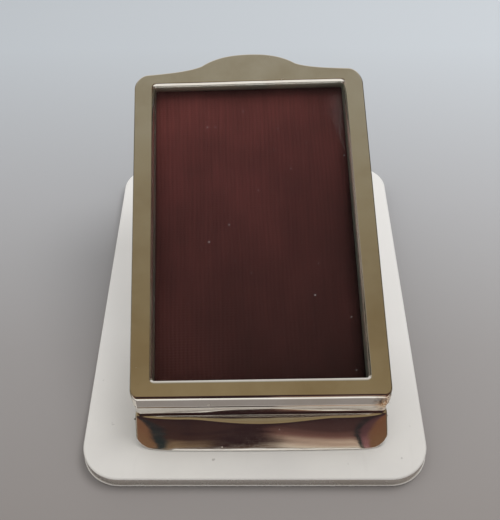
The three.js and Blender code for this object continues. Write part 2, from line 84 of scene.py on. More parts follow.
# The jaw's lip: its foot, how far its normal rises in degrees, the ledge at its top and its bent ends
JAW_FOOT_Y = -45.5 * MM
JAW_FOOT_HEIGHT = 0.15 * MM
JAW_FOOT_NORMAL = 28.5
LEDGE_NORMAL = 74.0
LEDGE_SIDE = 0.9 * MM
LEDGE_MIDDLE = 2.3 * MM
LEDGE_BEND = 0.22 * MM
LEDGE_SPREAD = 16.0 * MM
JAW_CORNER = 3.6 * MM
JAW_BOW = 0.35 * MM
JAW_END_BEND = 1.0 * MM
JAW_STRAIGHT_LEFT = 17.4 * MM
JAW_STRAIGHT_RIGHT = 19.2 * MM
JAW_STRAIGHT_FOOT = 2.6 * MM
CREASE_Y = -39.95 * MM
CREASE_HEIGHT = 5.75 * MM
LIP_FINE = 65
LIP_ROWS = 44

# The arm's sides fold down into cheeks beside the jaw, and its bed runs up under the picture frame
FOLD = 0.35 * MM
FOLD_STEPS = 7
CHEEK_DEPTH = 4.0 * MM
CHEEK_LEAST = 0.3 * MM
CHEEK_LENGTH = 13.0 * MM
CHEEK_TURN = math.radians(20)
CHEEK_ROWS = 4
ARM_SIDE_INSET = 0.4 * MM
ARM_COLUMNS = 110
BED_PLACES = [place * MM for place in (0.6, 3, 6, 9, 12, 15)]

# Spring, and the riveted pin's head as (share of its radius, drop from its end in mm)
SPRING_RADIUS = 3.7 * MM
SPRING_WIRE = 1.1 * MM
SPRING_TURNS = 8
SPRING_PITCH = 1.7 * MM
SPRING_FOOT = 2.4 * MM
SPRING_BEND = 1.2 * MM
SPRING_LOW_REACH = 15 * MM
SPRING_HIGH_PLACE = 47.98 * MM
SPRING_SIDES = 12
PIN_SHANK = 1.5 * MM
RIVET_HEAD = [(0, 0), (0.35, 0.04), (0.7, 0.2), (0.92, 0.5), (1, 0.85), (0.97, 1.0)]
RIVET_HEIGHT = 1.0 * MM

# Picture frame: its outline
FACE_EDGE = 0.35 * MM
EDGE_ROWS = 10
NEAR_CORNER = 1.65 * MM
FAR_CORNER = 3.5 * MM
NEAR_CUTS = 60
DOME_RISE = 5.0 * MM
SHOULDER_RISE = 1.95 * MM
DOME_HALF_WIDTH = 11.7 * MM
FAR_OUT = 0.6 * MM
FAR_SLANT = 0.3 * MM
SLOT_HALF = 25.25 * MM

# Its near wall above the upright foot: a small step outwards, then leaning back and over,
# as (lean in degrees, length in mm)
WALL_OUT = 0.25 * MM
WALL_UPRIGHT = 4.4
WALL_FOOT_SHARES = (0.3, 0.3, 0.3, 0.08, 0.02)
WALL_STEP = [(-90, 0.74), (-45, 0.15), (20, 0.06), (45, 0.20), (25, 0.06), (11, 0.10)]
WALL_LEAN = 11
WALL_OVER = [
    (12, 0.10), (15, 0.13), (18, 0.13), (21, 0.13), (24, 0.13), (30, 0.1), (36, 0.1), (42, 0.1), (49, 0.1),
    (56, 0.1), (63, 0.08),
]
WALL_ROWS = 13
WALL_TOP = 1.0 * MM

# Its lumpy solder at the near right corner
SOLDER_PLACE = Vector((27.4, 1.4, 4.2)) * MM
SOLDER_REACH = 2.7 * MM
SOLDER_LUMPS = 0.35 * MM
SOLDER_LUMP_SIZE = 0.8 * MM

# Its window, and the pressed edge down from the face as (width, drop) in mm:
# on the far side and the sides, and on the near side
SIDE_STRIP = 5.05 * MM
NEAR_STRIP = 3.7 * MM
FAR_STRIP = 3.1 * MM
WINDOW_BEVEL = 0.85 * MM
WINDOW_CORNER = 0.3 * MM
WINDOW_FADE = 1.2 * MM
WINDOW_HOLD = 0.1 * MM
WINDOW_STEPS = [
    (0.02, 0.01), (0.04, 0.05), (0.27, 0.45), (0.26, 0.46), (0.12, 0.35), (0.08, 0.43), (0.04, 0.40), (0.02, 0.45),
]
WINDOW_NEAR_STEPS = [
    (0.08, 0.01), (0.20, 0.05), (0.26, 0.10), (0.10, 0.09), (0.02, 0.60), (0.02, 0.60), (0.02, 0.60), (0.01, 0.55),
]

# The near edges lie a little less askew than the sides do, which fades out up the frame
NEAR_SLANT = math.tan(math.radians(1.7))
SLANT_FADE = 30 * MM

# Points closer than this are at one height, or on one line
SAME_HEIGHT = 1e-7
SAME_LINE = 1e-6


def joint(name):
    return next(j for j in frame["joints"] if j["name"] == name)


def node_points(node, place):
    back = place.inverted()
    return [back @ v.co for v in frame["nodes"][node].data.vertices]


def extent(node, place):
    points = node_points(node, place)
    low = Vector([min(p[i] for p in points) for i in range(3)])
    high = Vector([max(p[i] for p in points) for i in range(3)])
    return low, high


# Places: the clip stands askew on the plate, and the picture frame slopes up from the jaw's ledge
slide = Vector(joint("picture_pack_slide")["axis"])
TILT = math.asin(slide.z)
SKEW = math.atan2(-slide.x, slide.y)
PLATE_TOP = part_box("base_plate")[1].z
CLIP = Matrix.Translation((0, CLIP_CENTRE_Y, PLATE_TOP)) @ Matrix.Rotation(SKEW, 4, "Z")
FACE = CLIP @ Matrix.Translation((0, LEDGE_FOOT_Y, LEDGE_FOOT_HEIGHT)) @ Matrix.Rotation(TILT, 4, "X")
HINGE = CLIP.inverted() @ Vector(joint("arm_hinge")["pos_m"])
front_high = extent("frame_front", FACE)[1]
FRAME_HALF = front_high.x
FRAME_DEPTH = front_high.z
FACE_NEAR = FRAME_DEPTH * math.tan(TILT)
FACE_FAR = front_high.y - DOME_RISE
ARM_HALF = FRAME_HALF - ARM_SIDE_INSET
ARM_TAIL = extent("clip_arm", FACE)[1].y
WINDOW_HALF = FRAME_HALF - SIDE_STRIP
WINDOW_FAR = FACE_FAR - FAR_STRIP


# Making pieces


def smooth_and_split(bm, angle):
    for face in bm.faces:
        face.smooth = True
    for edge in bm.edges:
        edge.smooth = not (len(edge.link_faces) == 2 and edge.calc_face_angle() > angle)


def face_upwards(bm):
    bmesh.ops.recalc_face_normals(bm, faces=bm.faces)
    if sum(f.normal.z * f.calc_area() for f in bm.faces) < 0:
        bmesh.ops.reverse_faces(bm, faces=bm.faces)


def lean_near_edges(bm, back=Matrix.Identity(4)):
    """Turns the near edges a little, for a mesh whose place in the clip's frame is given"""
    for v in bm.verts:
        p = back @ v.co
        fade = min(max(1 - (p.y - JAW_FOOT_Y) / SLANT_FADE, 0), 1)
        p.y -= p.x * NEAR_SLANT * fade
        v.co = back.inverted() @ p


def placed(name, data):
    made = bpy.data.objects.new(name, data)
    bpy.context.scene.collection.objects.link(made)
    return made


def finished(name, bm, place, body, material, node, sharp=35, open_shell=False):
    """Makes the piece that stands for a node; an open shell has had its normals turned already"""
    if not open_shell:
        bmesh.ops.recalc_face_normals(bm, faces=bm.faces)
    smooth_and_split(bm, math.radians(sharp))
    bm.transform(place)
    mesh = bpy.data.meshes.new(name)
    bm.to_mesh(mesh)
    bm.free()
    mesh.materials.append(material)
    piece = placed(name, mesh)
    if body:
        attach(piece, body)
    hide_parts(node)
    return piece


def thicken(piece, thickness, even=True):
    shell = piece.modifiers.new("thickness", "SOLIDIFY")
    shell.thickness = thickness
    shell.offset = -1
    shell.use_even_offset = even
    shell.use_quality_normals = True


def oblong(bm, x0, x1, y0, y1, z, radii, segments=10):
    """A flat face with rounded corners; radii are those of the near and the far corners"""
    made = bmesh.ops.create_grid(bm, x_segments=1, y_segments=1, size=0.5)["verts"]
    bmesh.ops.scale(bm, vec=(x1 - x0, y1 - y0, 1), verts=made)
    bmesh.ops.translate(bm, vec=((x0 + x1) / 2, (y0 + y1) / 2, z), verts=made)
    middle = (y0 + y1) / 2
    for near, radius in zip((True, False), radii):
        corners = [v for v in made if (v.co.y < middle) == near]
        bmesh.ops.bevel(
            bm, geom=corners, offset=radius, offset_type="OFFSET", segments=segments,
            profile=0.5, affect="VERTICES", material=-1,
        )
        made = [v for v in bm.verts if (v.co.y < middle) != near]
    return widest(bm)


def widest(bm):
    return max(bm.faces, key=lambda f: f.calc_area())


def round_over(bm, radius, steps):
    """Insets the widest face step by step, so that its edge turns over in a quarter circle"""
    for i in range(steps):
        a, b = (math.pi / 2 * k / steps for k in (i, i + 1))
        bmesh.ops.inset_region(
            bm, faces=[widest(bm)], use_boundary=True, use_even_offset=True,
            thickness=radius * (math.cos(a) - math.cos(b)), depth=radius * (math.sin(b) - math.sin(a)),
        )
    bmesh.ops.inset_region(
        bm, faces=[widest(bm)], use_boundary=True, use_even_offset=True, thickness=radius * 0.2, depth=0,
    )


def rim_edges(bm):
    return [e for e in bm.edges if len(e.link_faces) == 1]


def pull(bm, edges, offset):
    """Draws a strip of faces out of some edges, and gives its new edges"""
    made = bmesh.ops.extrude_edge_only(bm, edges=edges)["geom"]
    verts = [g for g in made if isinstance(g, bmesh.types.BMVert)]
    bmesh.ops.translate(bm, vec=offset, verts=verts)
    moved = set(verts)
    return [g for g in made if isinstance(g, bmesh.types.BMEdge) and moved.issuperset(g.verts)]


def curve(points, steps):
    """Points on a smooth curve of three or four knots"""
    knots = [Vector((*p, 0)) for p in points]
    if len(knots) == 3:
        first, pulled, last = knots
        knots = [first, first.lerp(pulled, 2 / 3), last.lerp(pulled, 2 / 3), last]
    return [(p.x, p.y) for p in interpolate_bezier(*knots, steps + 1)]


def turned(profile, axis, centre, steps):
    """A closed profile of (radius, along) pairs, turned about an axis through a centre"""
    bm = bmesh.new()
    verts = [bm.verts.new((r, 0, along)) for r, along in profile]
    edges = [bm.edges.new(pair) for pair in zip(verts, verts[1:])]
    bmesh.ops.spin(
        bm, geom=verts + edges, cent=(0, 0, 0), axis=(0, 0, 1), angle=2 * math.pi, steps=steps, use_merge=True,
    )
    bmesh.ops.remove_doubles(bm, verts=bm.verts, dist=1e-6)
    turn = Vector((0, 0, 1)).rotation_difference(Vector(axis)).to_matrix().to_4x4()
    bm.transform(Matrix.Translation(centre) @ turn)
    return bm


def ripple(bm, amount, size, direction, seed, where=lambda co: True):
    """Moves points along a direction by a smooth random amount, as hand-worked sheet does"""
    for v in bm.verts:
        if where(v.co):
            start = Vector((seed, seed * 1.7, seed * 0.6))
            v.co += Vector(direction) * amount * noise.noise(v.co / size + start)


# Materials


def fresh_material(name):
    material = bpy.data.materials.new(name)
    material.use_nodes = True
    tree = material.node_tree
    shader = tree.nodes["Principled BSDF"]
    return material, tree, shader


def add(tree, kind, settings=None, **sockets):
    made = tree.nodes.new(kind)
    for key, value in (settings or {}).items():
        setattr(made, key, value)
    for key, value in sockets.items():
        socket = made.inputs[int(key[1:])] if key[1:].isdigit() else made.inputs[key.replace("_", " ")]
        put(tree, socket, value)
    return made


def put(tree, socket, value):
    if isinstance(value, bpy.types.NodeSocket):
        tree.links.new(value, socket)
    else:
        socket.default_value = value


def math_node(tree, operation, *values, clamp=False):
    made = add(tree, "ShaderNodeMath", {"operation": operation, "use_clamp": clamp})
    for socket, value in zip(made.inputs, values):
        put(tree, socket, value)
    return made.outputs[0]


def times(tree, first, second):
    return math_node(tree, "MULTIPLY", first, second)


def plus(tree, first, second, clamp=False):
    return math_node(tree, "ADD", first, second, clamp=clamp)


def mixed(tree, factor, first, second, blend="MIX"):
    made = tree.nodes.new("ShaderNodeMix")
    made.data_type = "RGBA"
    made.blend_type = blend
    put(tree, made.inputs["Factor"], factor)
    put(tree, made.inputs["A"], first)
    put(tree, made.inputs["B"], second)
    return made.outputs["Result"]


def ramp(tree, factor, stops):
    made = tree.nodes.new("ShaderNodeValToRGB")
    elements = made.color_ramp.elements
    for _ in stops[2:]:
        elements.new(0.5)
    for element, (position, colour) in zip(elements, stops):
        element.position = position
        element.color = (*colour, 1)
    put(tree, made.inputs["Fac"], factor)
    return made.outputs["Color"]


def span(tree, value, low, high, out_low=0.0, out_high=1.0):
    made = add(tree, "ShaderNodeMapRange", {"clamp": True}, Value=value)
    made.inputs["From Min"].default_value = low
    made.inputs["From Max"].default_value = high
    made.inputs["To Min"].default_value = out_low
    made.inputs["To Max"].default_value = out_high
    return made.outputs["Result"]


def noise_node(tree, vector, scale, detail=2.0, roughness=0.5):
    made = add(tree, "ShaderNodeTexNoise", {}, Vector=vector, Scale=scale, Detail=detail, Roughness=roughness)
    return made.outputs["Fac"]


def stretched(tree, vector, scale):
    made = add(tree, "ShaderNodeMapping", {}, Vector=vector)
    made.inputs["Scale"].default_value = scale
    return made.outputs["Vector"]


def object_place(tree):
    return tree.nodes.new("ShaderNodeTexCoord").outputs["Object"]


def paint(tree, shader, **sockets):
    for key, value in sockets.items():
        put(tree, shader.inputs[key.replace("_", " ")], value)


def emboss(tree, shader, height, distance, strength):
    bump = add(tree, "ShaderNodeBump", {}, Height=height, Distance=distance, Strength=strength)
    put(tree, shader.inputs["Normal"], bump.outputs["Normal"])


def new_group(name, inputs, outputs):
    group = bpy.data.node_groups.new(name, "ShaderNodeTree")
    for label, kind, default in inputs:
        socket = group.interface.new_socket(name=label, in_out="INPUT", socket_type=kind)
        socket.default_value = default
    for label, kind in outputs:
        group.interface.new_socket(name=label, in_out="OUTPUT", socket_type=kind)
    return group, group.nodes.new("NodeGroupInput"), group.nodes.new("NodeGroupOutput")


FLOAT = "NodeSocketFloat"
COLOUR = "NodeSocketColor"


def hand_finish_group():
    """Worked silver: slow waves of the sheet, fine polishing lines, tarnish and small marks"""
    group, given, result = new_group(
        "hand_finish",
        [("Wave", FLOAT, 1.0), ("Tarnish", FLOAT, 0.3), ("Roughness", FLOAT, 0.1),
         ("Colour", COLOUR, (0.9, 0.88, 0.83, 1)), ("Tarnish colour", COLOUR, (0.6, 0.5, 0.36, 1))],
        [("Colour", COLOUR), ("Roughness", FLOAT), ("Height", FLOAT)],
    )
    place = object_place(group)
    waves = noise_node(group, place, 90, 1.0)
    lines = noise_node(group, stretched(group, place, (300, 4200, 900)), 1.0, 2.0)
    cross = noise_node(group, stretched(group, place, (3600, 260, 900)), 1.0, 2.0)
    cloudy = noise_node(group, place, 55, 4.0, 0.6)
    spots = noise_node(group, place, 650, 2.0)
    patch = span(group, cloudy, 0.42, 0.68)
    speck = span(group, spots, 0.745, 0.79)
    tarnish = times(group, patch, given.outputs["Tarnish"])
    tarnish = plus(group, tarnish, times(group, speck, 0.25), clamp=True)
    colour = mixed(group, tarnish, given.outputs["Colour"], given.outputs["Tarnish colour"])
    put(group, result.inputs["Colour"], colour)
    fine = plus(group, times(group, lines, 0.6), times(group, cross, 0.4))
    rough = times(group, span(group, fine, 0.4, 0.75), 0.10)
    rough = plus(group, rough, times(group, speck, 0.25))
    put(group, result.inputs["Roughness"], plus(group, given.outputs["Roughness"], rough, clamp=True))
    slow = times(group, waves, given.outputs["Wave"])
    put(group, result.inputs["Height"], plus(group, slow, times(group, fine, 0.006)))
    return group


HAND_FINISH = hand_finish_group()
SHEET_WAVE = 0.08 * MM


def silver(name, colour, tarnish, roughness, wave):
    """Bright worked silver, with the hand finish in the measure given"""
    material, tree, shader = fresh_material(name)
    finish = tree.nodes.new("ShaderNodeGroup")
    finish.node_tree = HAND_FINISH
    settings = {"Wave": wave, "Tarnish": tarnish, "Roughness": roughness, "Colour": (*colour, 1)}
    for label, value in settings.items():
        finish.inputs[label].default_value = value
    emboss(tree, shader, finish.outputs["Height"], SHEET_WAVE, 1.0)
    paint(tree, shader, Base_Color=finish.outputs["Colour"], Roughness=finish.outputs["Roughness"], Metallic=1.0)
    return material


def soldered(material):
    """Adds rough solder, copper and cream, around the near right corner"""
    tree = material.node_tree
    colour = next(n for n in tree.nodes if n.type == "BSDF_PRINCIPLED").inputs["Base Color"]
    bright = colour.links[0].from_socket
    place = object_place(tree)
    away = add(tree, "ShaderNodeVectorMath", {"operation": "SUBTRACT"})
    put(tree, away.inputs[0], place)
    away.inputs[1].default_value = FACE @ SOLDER_PLACE
    size = add(tree, "ShaderNodeVectorMath", {"operation": "LENGTH"})
    put(tree, size.inputs[0], away.outputs[0])
    fine = noise_node(tree, place, 900, 3.0, 0.6)
    near = plus(tree, size.outputs["Value"], times(tree, fine, 2.4 * MM))
    mask = span(tree, near, SOLDER_REACH * 1.9, SOLDER_REACH * 1.2)
    mottle = ramp(tree, noise_node(tree, place, 1500, 2.0), [
        (0.35, (0.10, 0.06, 0.035)), (0.48, (0.62, 0.36, 0.20)),
        (0.56, (0.85, 0.70, 0.52)), (0.7, (0.30, 0.17, 0.09)),
    ])
    put(tree, colour, mixed(tree, mask, bright, mottle))
    return material


def satin_silver():
    """The plate's silver: even and matt, with faint marks and a few tiny pits, and painted light beside the clip,
    lighter there against the shade that falls beside it
    """
    material, tree, shader = fresh_material("plate_satin")
    place = object_place(tree)
    cloudy = span(tree, noise_node(tree, place, 40, 4.0, 0.6), 0.35, 0.7)
    pits = span(tree, noise_node(tree, place, 420, 2.0), 0.735, 0.77)
    marks = span(tree, noise_node(tree, stretched(tree, place, (500, 90, 200)), 1.0, 3.0), 0.62, 0.8)
    colour = mixed(tree, cloudy, (0.80, 0.78, 0.745, 1), (0.75, 0.73, 0.705, 1))
    colour = mixed(tree, times(tree, marks, 0.12), colour, (0.5, 0.49, 0.47, 1))
    colour = mixed(tree, times(tree, pits, 0.5), colour, (0.3, 0.27, 0.25, 1))
    grain = noise_node(tree, place, 3000, 2.0)
    emboss(tree, shader, grain, 0.004 * MM, 0.2)
    split = add(tree, "ShaderNodeSeparateXYZ", {}, Vector=place)
    # Painted light: the plate is painted lighter beside the clip, to lift the shade that falls there
    beside = span(tree, math_node(tree, "ABSOLUTE", split.outputs["X"]), 20 * MM, 31 * MM)
    beside = times(tree, beside, span(tree, split.outputs["Y"], -42 * MM, -12 * MM))
    colour = mixed(tree, beside, colour, (0.93, 0.915, 0.895, 1))
    paint(tree, shader, Base_Color=colour, Roughness=span(tree, cloudy, 0, 1, 0.42, 0.5), Metallic=0.35)
    return material


def plain_metal(name, colour, roughness):
    """Drawn wire, turned or rolled metal: cloudy, with fine lines around it"""
    material, tree, shader = fresh_material(name)
    place = object_place(tree)
    cloudy = noise_node(tree, place, 180, 4.0, 0.6)
    grain = noise_node(tree, stretched(tree, place, (200, 1500, 1500)), 1.0, 2.0)
    dark = tuple(c * 0.6 for c in colour)
    tone = mixed(tree, span(tree, cloudy, 0.35, 0.75), (*colour, 1), (*dark, 1))
    uneven = span(tree, grain, 0.3, 0.7, roughness, roughness + 0.15)
    paint(tree, shader, Base_Color=tone, Roughness=uneven, Metallic=1.0)
    emboss(tree, shader, grain, 0.01 * MM, 0.6)
    return material


def ribbed_cloth():
    """Maroon ribbed cloth: ribs up the picture, fine threads across, with painted shade: darker at the near end and
    lighter towards the thumb press, lighter on the left, and painted shadow along the window's edges.
    Its weave map is in millimetres of the picture frame's own place."""
    material, tree, shader = fresh_material("maroon_rib")
    uv = tree.nodes.new("ShaderNodeUVMap").outputs["UV"]
    split = add(tree, "ShaderNodeSeparateXYZ", {}, Vector=uv)
    across, up = split.outputs["X"], split.outputs["Y"]
    rib_period = 0.95
    thread_period = 0.62
    wander = noise_node(tree, stretched(tree, uv, (0.05, 0.03, 1)), 1.0, 2.0)
    bent = plus(tree, across, times(tree, wander, 2.4))
    ribs = math_node(tree, "SINE", times(tree, bent, 2 * math.pi / rib_period))
    threads = math_node(tree, "SINE", times(tree, up, 2 * math.pi / thread_period))
    uneven = span(tree, noise_node(tree, stretched(tree, uv, (1.2, 0.06, 1)), 1.0, 3.0), 0.3, 0.7)
    cloudy = noise_node(tree, stretched(tree, uv, (0.045, 0.035, 1)), 1.0, 3.0, 0.55)
    height = plus(tree, ribs, times(tree, threads, 0.35))
    # Painted shade: darker at the near end, lighter towards the thumb press
    fading_and_painted_shade = ramp(tree, span(tree, up, 4, 81), [
        (0.0, (0.024, 0.0062, 0.0052)), (0.35, (0.036, 0.0092, 0.0082)),
        (0.7, (0.058, 0.0142, 0.0130)), (1.0, (0.082, 0.0205, 0.0180)),
    ])
    # Painted light: lighter on the left, darker on the right; far_shade and side_shade paint shadow along the
    # window's far edge and sides
    side = span(tree, across, -25, 25, 1.25, 0.85)
    far, half = WINDOW_FAR / MM, WINDOW_HALF / MM
    far_shade = span(tree, up, far + 1.0, far - 1.6, 0.38, 1.0)
    side_shade = span(tree, math_node(tree, "ABSOLUTE", across), half + 0.3, half - 0.4, 0.45, 1.0)
    side = times(tree, side, times(tree, far_shade, side_shade))
    light = times(tree, side, span(tree, cloudy, 0.3, 0.7, 0.72, 1.3))
    light = times(tree, light, span(tree, height, -1.3, 1.3, 0.92, 1.08))
    light = times(tree, light, span(tree, uneven, 0, 1, 0.9, 1.1))
    grey = add(tree, "ShaderNodeCombineColor", {}, Red=light, Green=light, Blue=light).outputs["Color"]
    colour = mixed(tree, 1.0, fading_and_painted_shade, grey, "MULTIPLY")
    paint(tree, shader, Base_Color=colour, Roughness=0.85, Specular_IOR_Level=0.2, Sheen_Weight=0.05)
    emboss(tree, shader, height, 0.03 * MM, 0.5)
    return material


def felt():
    """Dark green baize with short fibres"""
    material, tree, shader = fresh_material("pad_baize")
    place = object_place(tree)
    fibres = noise_node(tree, place, 1400, 5.0, 0.7)
    cloudy = noise_node(tree, place, 60, 3.0)
    colour = ramp(tree, fibres, [(0.3, (0.008, 0.022, 0.014)), (0.7, (0.022, 0.050, 0.032))])
    fading_and_painted_shade = mixed(tree, times(tree, cloudy, 0.4), colour, (0.04, 0.05, 0.04, 1))
    paint(tree, shader, Base_Color=fading_and_painted_shade, Roughness=1.0, Sheen_Weight=0.3)
    emboss(tree, shader, fibres, 0.15 * MM, 0.8)
    return material


def grained(name, light, dark, along):
    """Wood or board with its grain along one axis of the object"""
    material, tree, shader = fresh_material(name)
    place = object_place(tree)
    scale = [420.0, 420.0, 420.0]
    scale[along] = 25.0
    grain = noise_node(tree, stretched(tree, place, scale), 1.0, 5.0, 0.65)
    pores = noise_node(tree, stretched(tree, place, [s * 4 for s in scale]), 1.0, 2.0)
    colour = ramp(tree, grain, [(0.3, dark), (0.7, light)])
    pitted = mixed(tree, span(tree, pores, 0.62, 0.72), colour, (*[c * 0.4 for c in dark], 1))
    paint(tree, shader, Base_Color=pitted, Roughness=span(tree, grain, 0.3, 0.7, 0.55, 0.75))
    emboss(tree, shader, grain, 0.08 * MM, 0.5)
    return material


def mixed_shader(tree, factor, first, second):
    made = tree.nodes.new("ShaderNodeMixShader")
    for socket, value in zip(made.inputs, (factor, first, second)):
        put(tree, socket, value)
    return made.outputs[0]


def pane_glass():
    """Thin clear glass that lets light through to the cloth, with a faint dusty haze"""
    material, tree, shader = fresh_material("pane_glass")
    place = object_place(tree)
    haze = noise_node(tree, place, 70, 4.0, 0.6)
    smooth = span(tree, haze, 0.4, 0.7, 0.0, 0.06)
    paint(tree, shader, Base_Color=(0.97, 0.98, 0.97, 1), Roughness=smooth, Transmission_Weight=1.0, IOR=1.12)
    clear = tree.nodes.new("ShaderNodeBsdfTransparent")
    path = tree.nodes.new("ShaderNodeLightPath")
    through = math_node(tree, "MAXIMUM", path.outputs["Is Shadow Ray"], path.outputs["Is Diffuse Ray"])
    pane = mixed_shader(tree, through, shader.outputs[0], clear.outputs[0])
    specks = times(tree, span(tree, noise_node(tree, place, 900, 1.0), 0.80, 0.82), 0.3)
    dust = tree.nodes.new("ShaderNodeBsdfDiffuse")
    dusty = mixed_shader(tree, specks, pane, dust.outputs[0])
    put(tree, tree.nodes["Material Output"].inputs["Surface"], dusty)
    return material


FACE_SILVER = silver("face_silver", (0.89, 0.86, 0.79), tarnish=0.4, roughness=0.08, wave=1.3)
ARM_SILVER = silver("arm_silver", (0.90, 0.87, 0.82), tarnish=0.2, roughness=0.06, wave=1.0)
WALL_SILVER = soldered(silver("wall_silver", (0.87, 0.84, 0.79), tarnish=0.25, roughness=0.05, wave=2.2))
# A darker olive copy of the silver for side edges and the sheet's cut rim: painted shade
SHADED_EDGE_SILVER = silver("painted_shade_edge_silver", (0.30, 0.27, 0.19), tarnish=0.5, roughness=0.2, wave=0.8)
# A darker grey-green copy of the silver for the window's collar: painted shade
SHADED_COLLAR_SILVER = silver("painted_shade_collar_silver", (0.36, 0.40, 0.34), tarnish=0.6, roughness=0.45, wave=0.8)
TRIM_SILVER = silver("trim_silver", (0.90, 0.87, 0.84), tarnish=0.15, roughness=0.06, wave=1.2)
UNDER_SILVER = silver("under_silver", (0.82, 0.79, 0.72), tarnish=0.5, roughness=0.22, wave=0.6)
PLATE_SILVER = satin_silver()
RIM_SILVER = silver("rim_silver", (0.80, 0.77, 0.72), tarnish=0.25, roughness=0.22, wave=0.8)
STEEL = plain_metal("spring_steel", (0.36, 0.36, 0.37), 0.3)
BRASS = plain_metal("dull_brass", (0.52, 0.38, 0.17), 0.35)
CLOTH = ribbed_cloth()
BAIZE = felt()
WOOD_LIGHT, WOOD_DARK = (0.24, 0.13, 0.06), (0.12, 0.06, 0.028)
RAIL_WOOD_ALONG = grained("rail_wood_long", WOOD_LIGHT, WOOD_DARK, 1)
RAIL_WOOD_ACROSS = grained("rail_wood_cross", WOOD_LIGHT, WOOD_DARK, 0)
BOARD = grained("pressed_board", (0.30, 0.24, 0.16), (0.20, 0.15, 0.10), 2)
GLASS = pane_glass()


# Base plate


def base_plate():
    low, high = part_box("base_plate")
    bm = bmesh.new()
    oblong(bm, low.x, high.x, low.y, high.y, high.z - PLATE_EDGE, (PLATE_CORNER,) * 2, 16)
    round_over(bm, PLATE_EDGE, 6)
    edges = pull(bm, rim_edges(bm), (0, 0, low.z + RIM_FOOT + PLATE_EDGE - high.z))
    for out, fall in ((RIM_FLARE, RIM_FOOT * 0.35), (0.0, RIM_FOOT * 0.65)):
        edges = pull(bm, edges, (0, 0, -fall))
        rim = {v for e in edges for v in e.verts}
        bmesh.ops.scale(bm, vec=(1 + out / high.x, 1 + out / high.y, 1), verts=list(rim))
    ripple(bm, RIM_WAVE, 17 * MM, (0, 1, 0), 8.3, where=lambda co: co.y < low.y + RIM_WAVE_DEPTH)
    face_upwards(bm)
    piece = finished(
        "plate", bm, Matrix.Identity(4), "base", PLATE_SILVER, "base_plate", open_shell=True,
    )
    piece.data.materials.append(RIM_SILVER)
    for polygon in piece.data.polygons:
        polygon.material_index = 1 if abs(polygon.normal.z) < 0.3 else 0
    thicken(piece, SHEET)


# Arm: its jaw is a curved lip with rounded upright corners


def lip_slopes(middle_normal, ledge):
    """How steeply the lip's normal rises along it, from the crease (0) down to the foot (1), in degrees"""
    def normal(along, length):
        fall = 1 / (1 + math.exp(min((along * length - ledge) / LEDGE_BEND, 50)))
        lower = JAW_FOOT_NORMAL + (middle_normal - JAW_FOOT_NORMAL) * (1 - along)
        return lower + (LEDGE_NORMAL - lower) * fall
    return normal


def lip_run(middle_normal, length, ledge):
    normal = lip_slopes(middle_normal, ledge)
    step = length / (LIP_FINE - 1)
    points = [Vector((CREASE_Y, CREASE_HEIGHT))]
    for i in range(LIP_FINE - 1):
        angle = math.radians(normal((i + 0.5) / (LIP_FINE - 1), length))
        points.append(points[-1] + Vector((-math.sin(angle), -math.cos(angle))) * step)
    return points


@functools.lru_cache(maxsize=None)
def lip_curve(x):
    """Where the lip runs at one place across, from its foot up to the crease under the picture frame.
    Its top is a gently sloping ledge, widest in the middle, and the rest falls steeply to the foot."""
    across = max(0.0, 1 - (x / LEDGE_SPREAD) ** 2)
    ledge = LEDGE_SIDE + (LEDGE_MIDDLE - LEDGE_SIDE) * across ** 1.5
    foot = Vector((JAW_FOOT_Y - JAW_BOW * max(0.0, 1 - (x / ARM_HALF) ** 2), JAW_FOOT_HEIGHT))
    normal, length = 42.0, 7.8 * MM
    for _ in range(12):
        here = lip_run(normal, length, ledge)[-1] - foot
        by_normal = (lip_run(normal + 0.5, length, ledge)[-1] - foot - here) / 0.5
        by_length = (lip_run(normal, length + 0.01 * MM, ledge)[-1] - foot - here) / (0.01 * MM)
        size = by_normal.x * by_length.y - by_normal.y * by_length.x
        normal -= (here.x * by_length.y - here.y * by_length.x) / size
        length -= (by_normal.x * here.y - by_normal.y * here.x) / size
    return lip_run(normal, length, ledge)[::-1]


def arm_columns():
    """Across the arm: place across, how far a fold has turned, and how far down the cheek"""
    edge = ARM_HALF - FOLD
    flat = [-edge + 2 * edge * i / ARM_COLUMNS for i in range(ARM_COLUMNS + 1)]
    fold = [math.pi / 2 * i / FOLD_STEPS for i in range(1, FOLD_STEPS + 1)]
    cheek = [i / CHEEK_ROWS for i in range(1, CHEEK_ROWS + 1)]
    side = [(edge, a, 0.0) for a in fold] + [(edge, math.pi / 2, c) for c in cheek]
    return [(-x, a, c) for x, a, c in reversed(side)] + [(x, 0.0, 0.0) for x in flat] + side


def corner_cut(x, turn):
    """How far up the lip its rounded lower corner reaches"""
    across = abs(x) + FOLD * turn - (ARM_HALF - FOLD + FOLD * math.pi / 2 - JAW_CORNER)
    across = min(max(across, 0.0), JAW_CORNER * 0.999)
    return JAW_CORNER - math.sqrt(JAW_CORNER ** 2 - across ** 2)


def lip_point(x, turn, row):
    """A point of the lip, with the depth of the cheek there and the slope that it goes down by"""
    line = lip_curve(x)
    length = sum((b - a).length for a, b in zip(line, line[1:]))
    start = corner_cut(x, turn) / length
    share = start + (1 - start) * row / (LIP_ROWS - 1)
    place = share * (LIP_FINE - 1)
    i = min(int(place), LIP_FINE - 2)
    at = line[i].lerp(line[i + 1], place - i)
    up = row / (LIP_ROWS - 1)
    straight = JAW_STRAIGHT_LEFT if x < 0 else JAW_STRAIGHT_RIGHT
    straight += JAW_STRAIGHT_FOOT * (1 - 2 * min(up, 0.5)) ** 2
    bend = max(0.0, (abs(x) - straight) / (ARM_HALF - straight)) ** 2
    point = Vector((x, at.x + JAW_END_BEND * bend * (1 - up ** 4), at.y))
    return point, CHEEK_DEPTH * (0.35 + 0.65 * share), CHEEK_TURN + (math.pi / 2 - TILT - CHEEK_TURN) * share


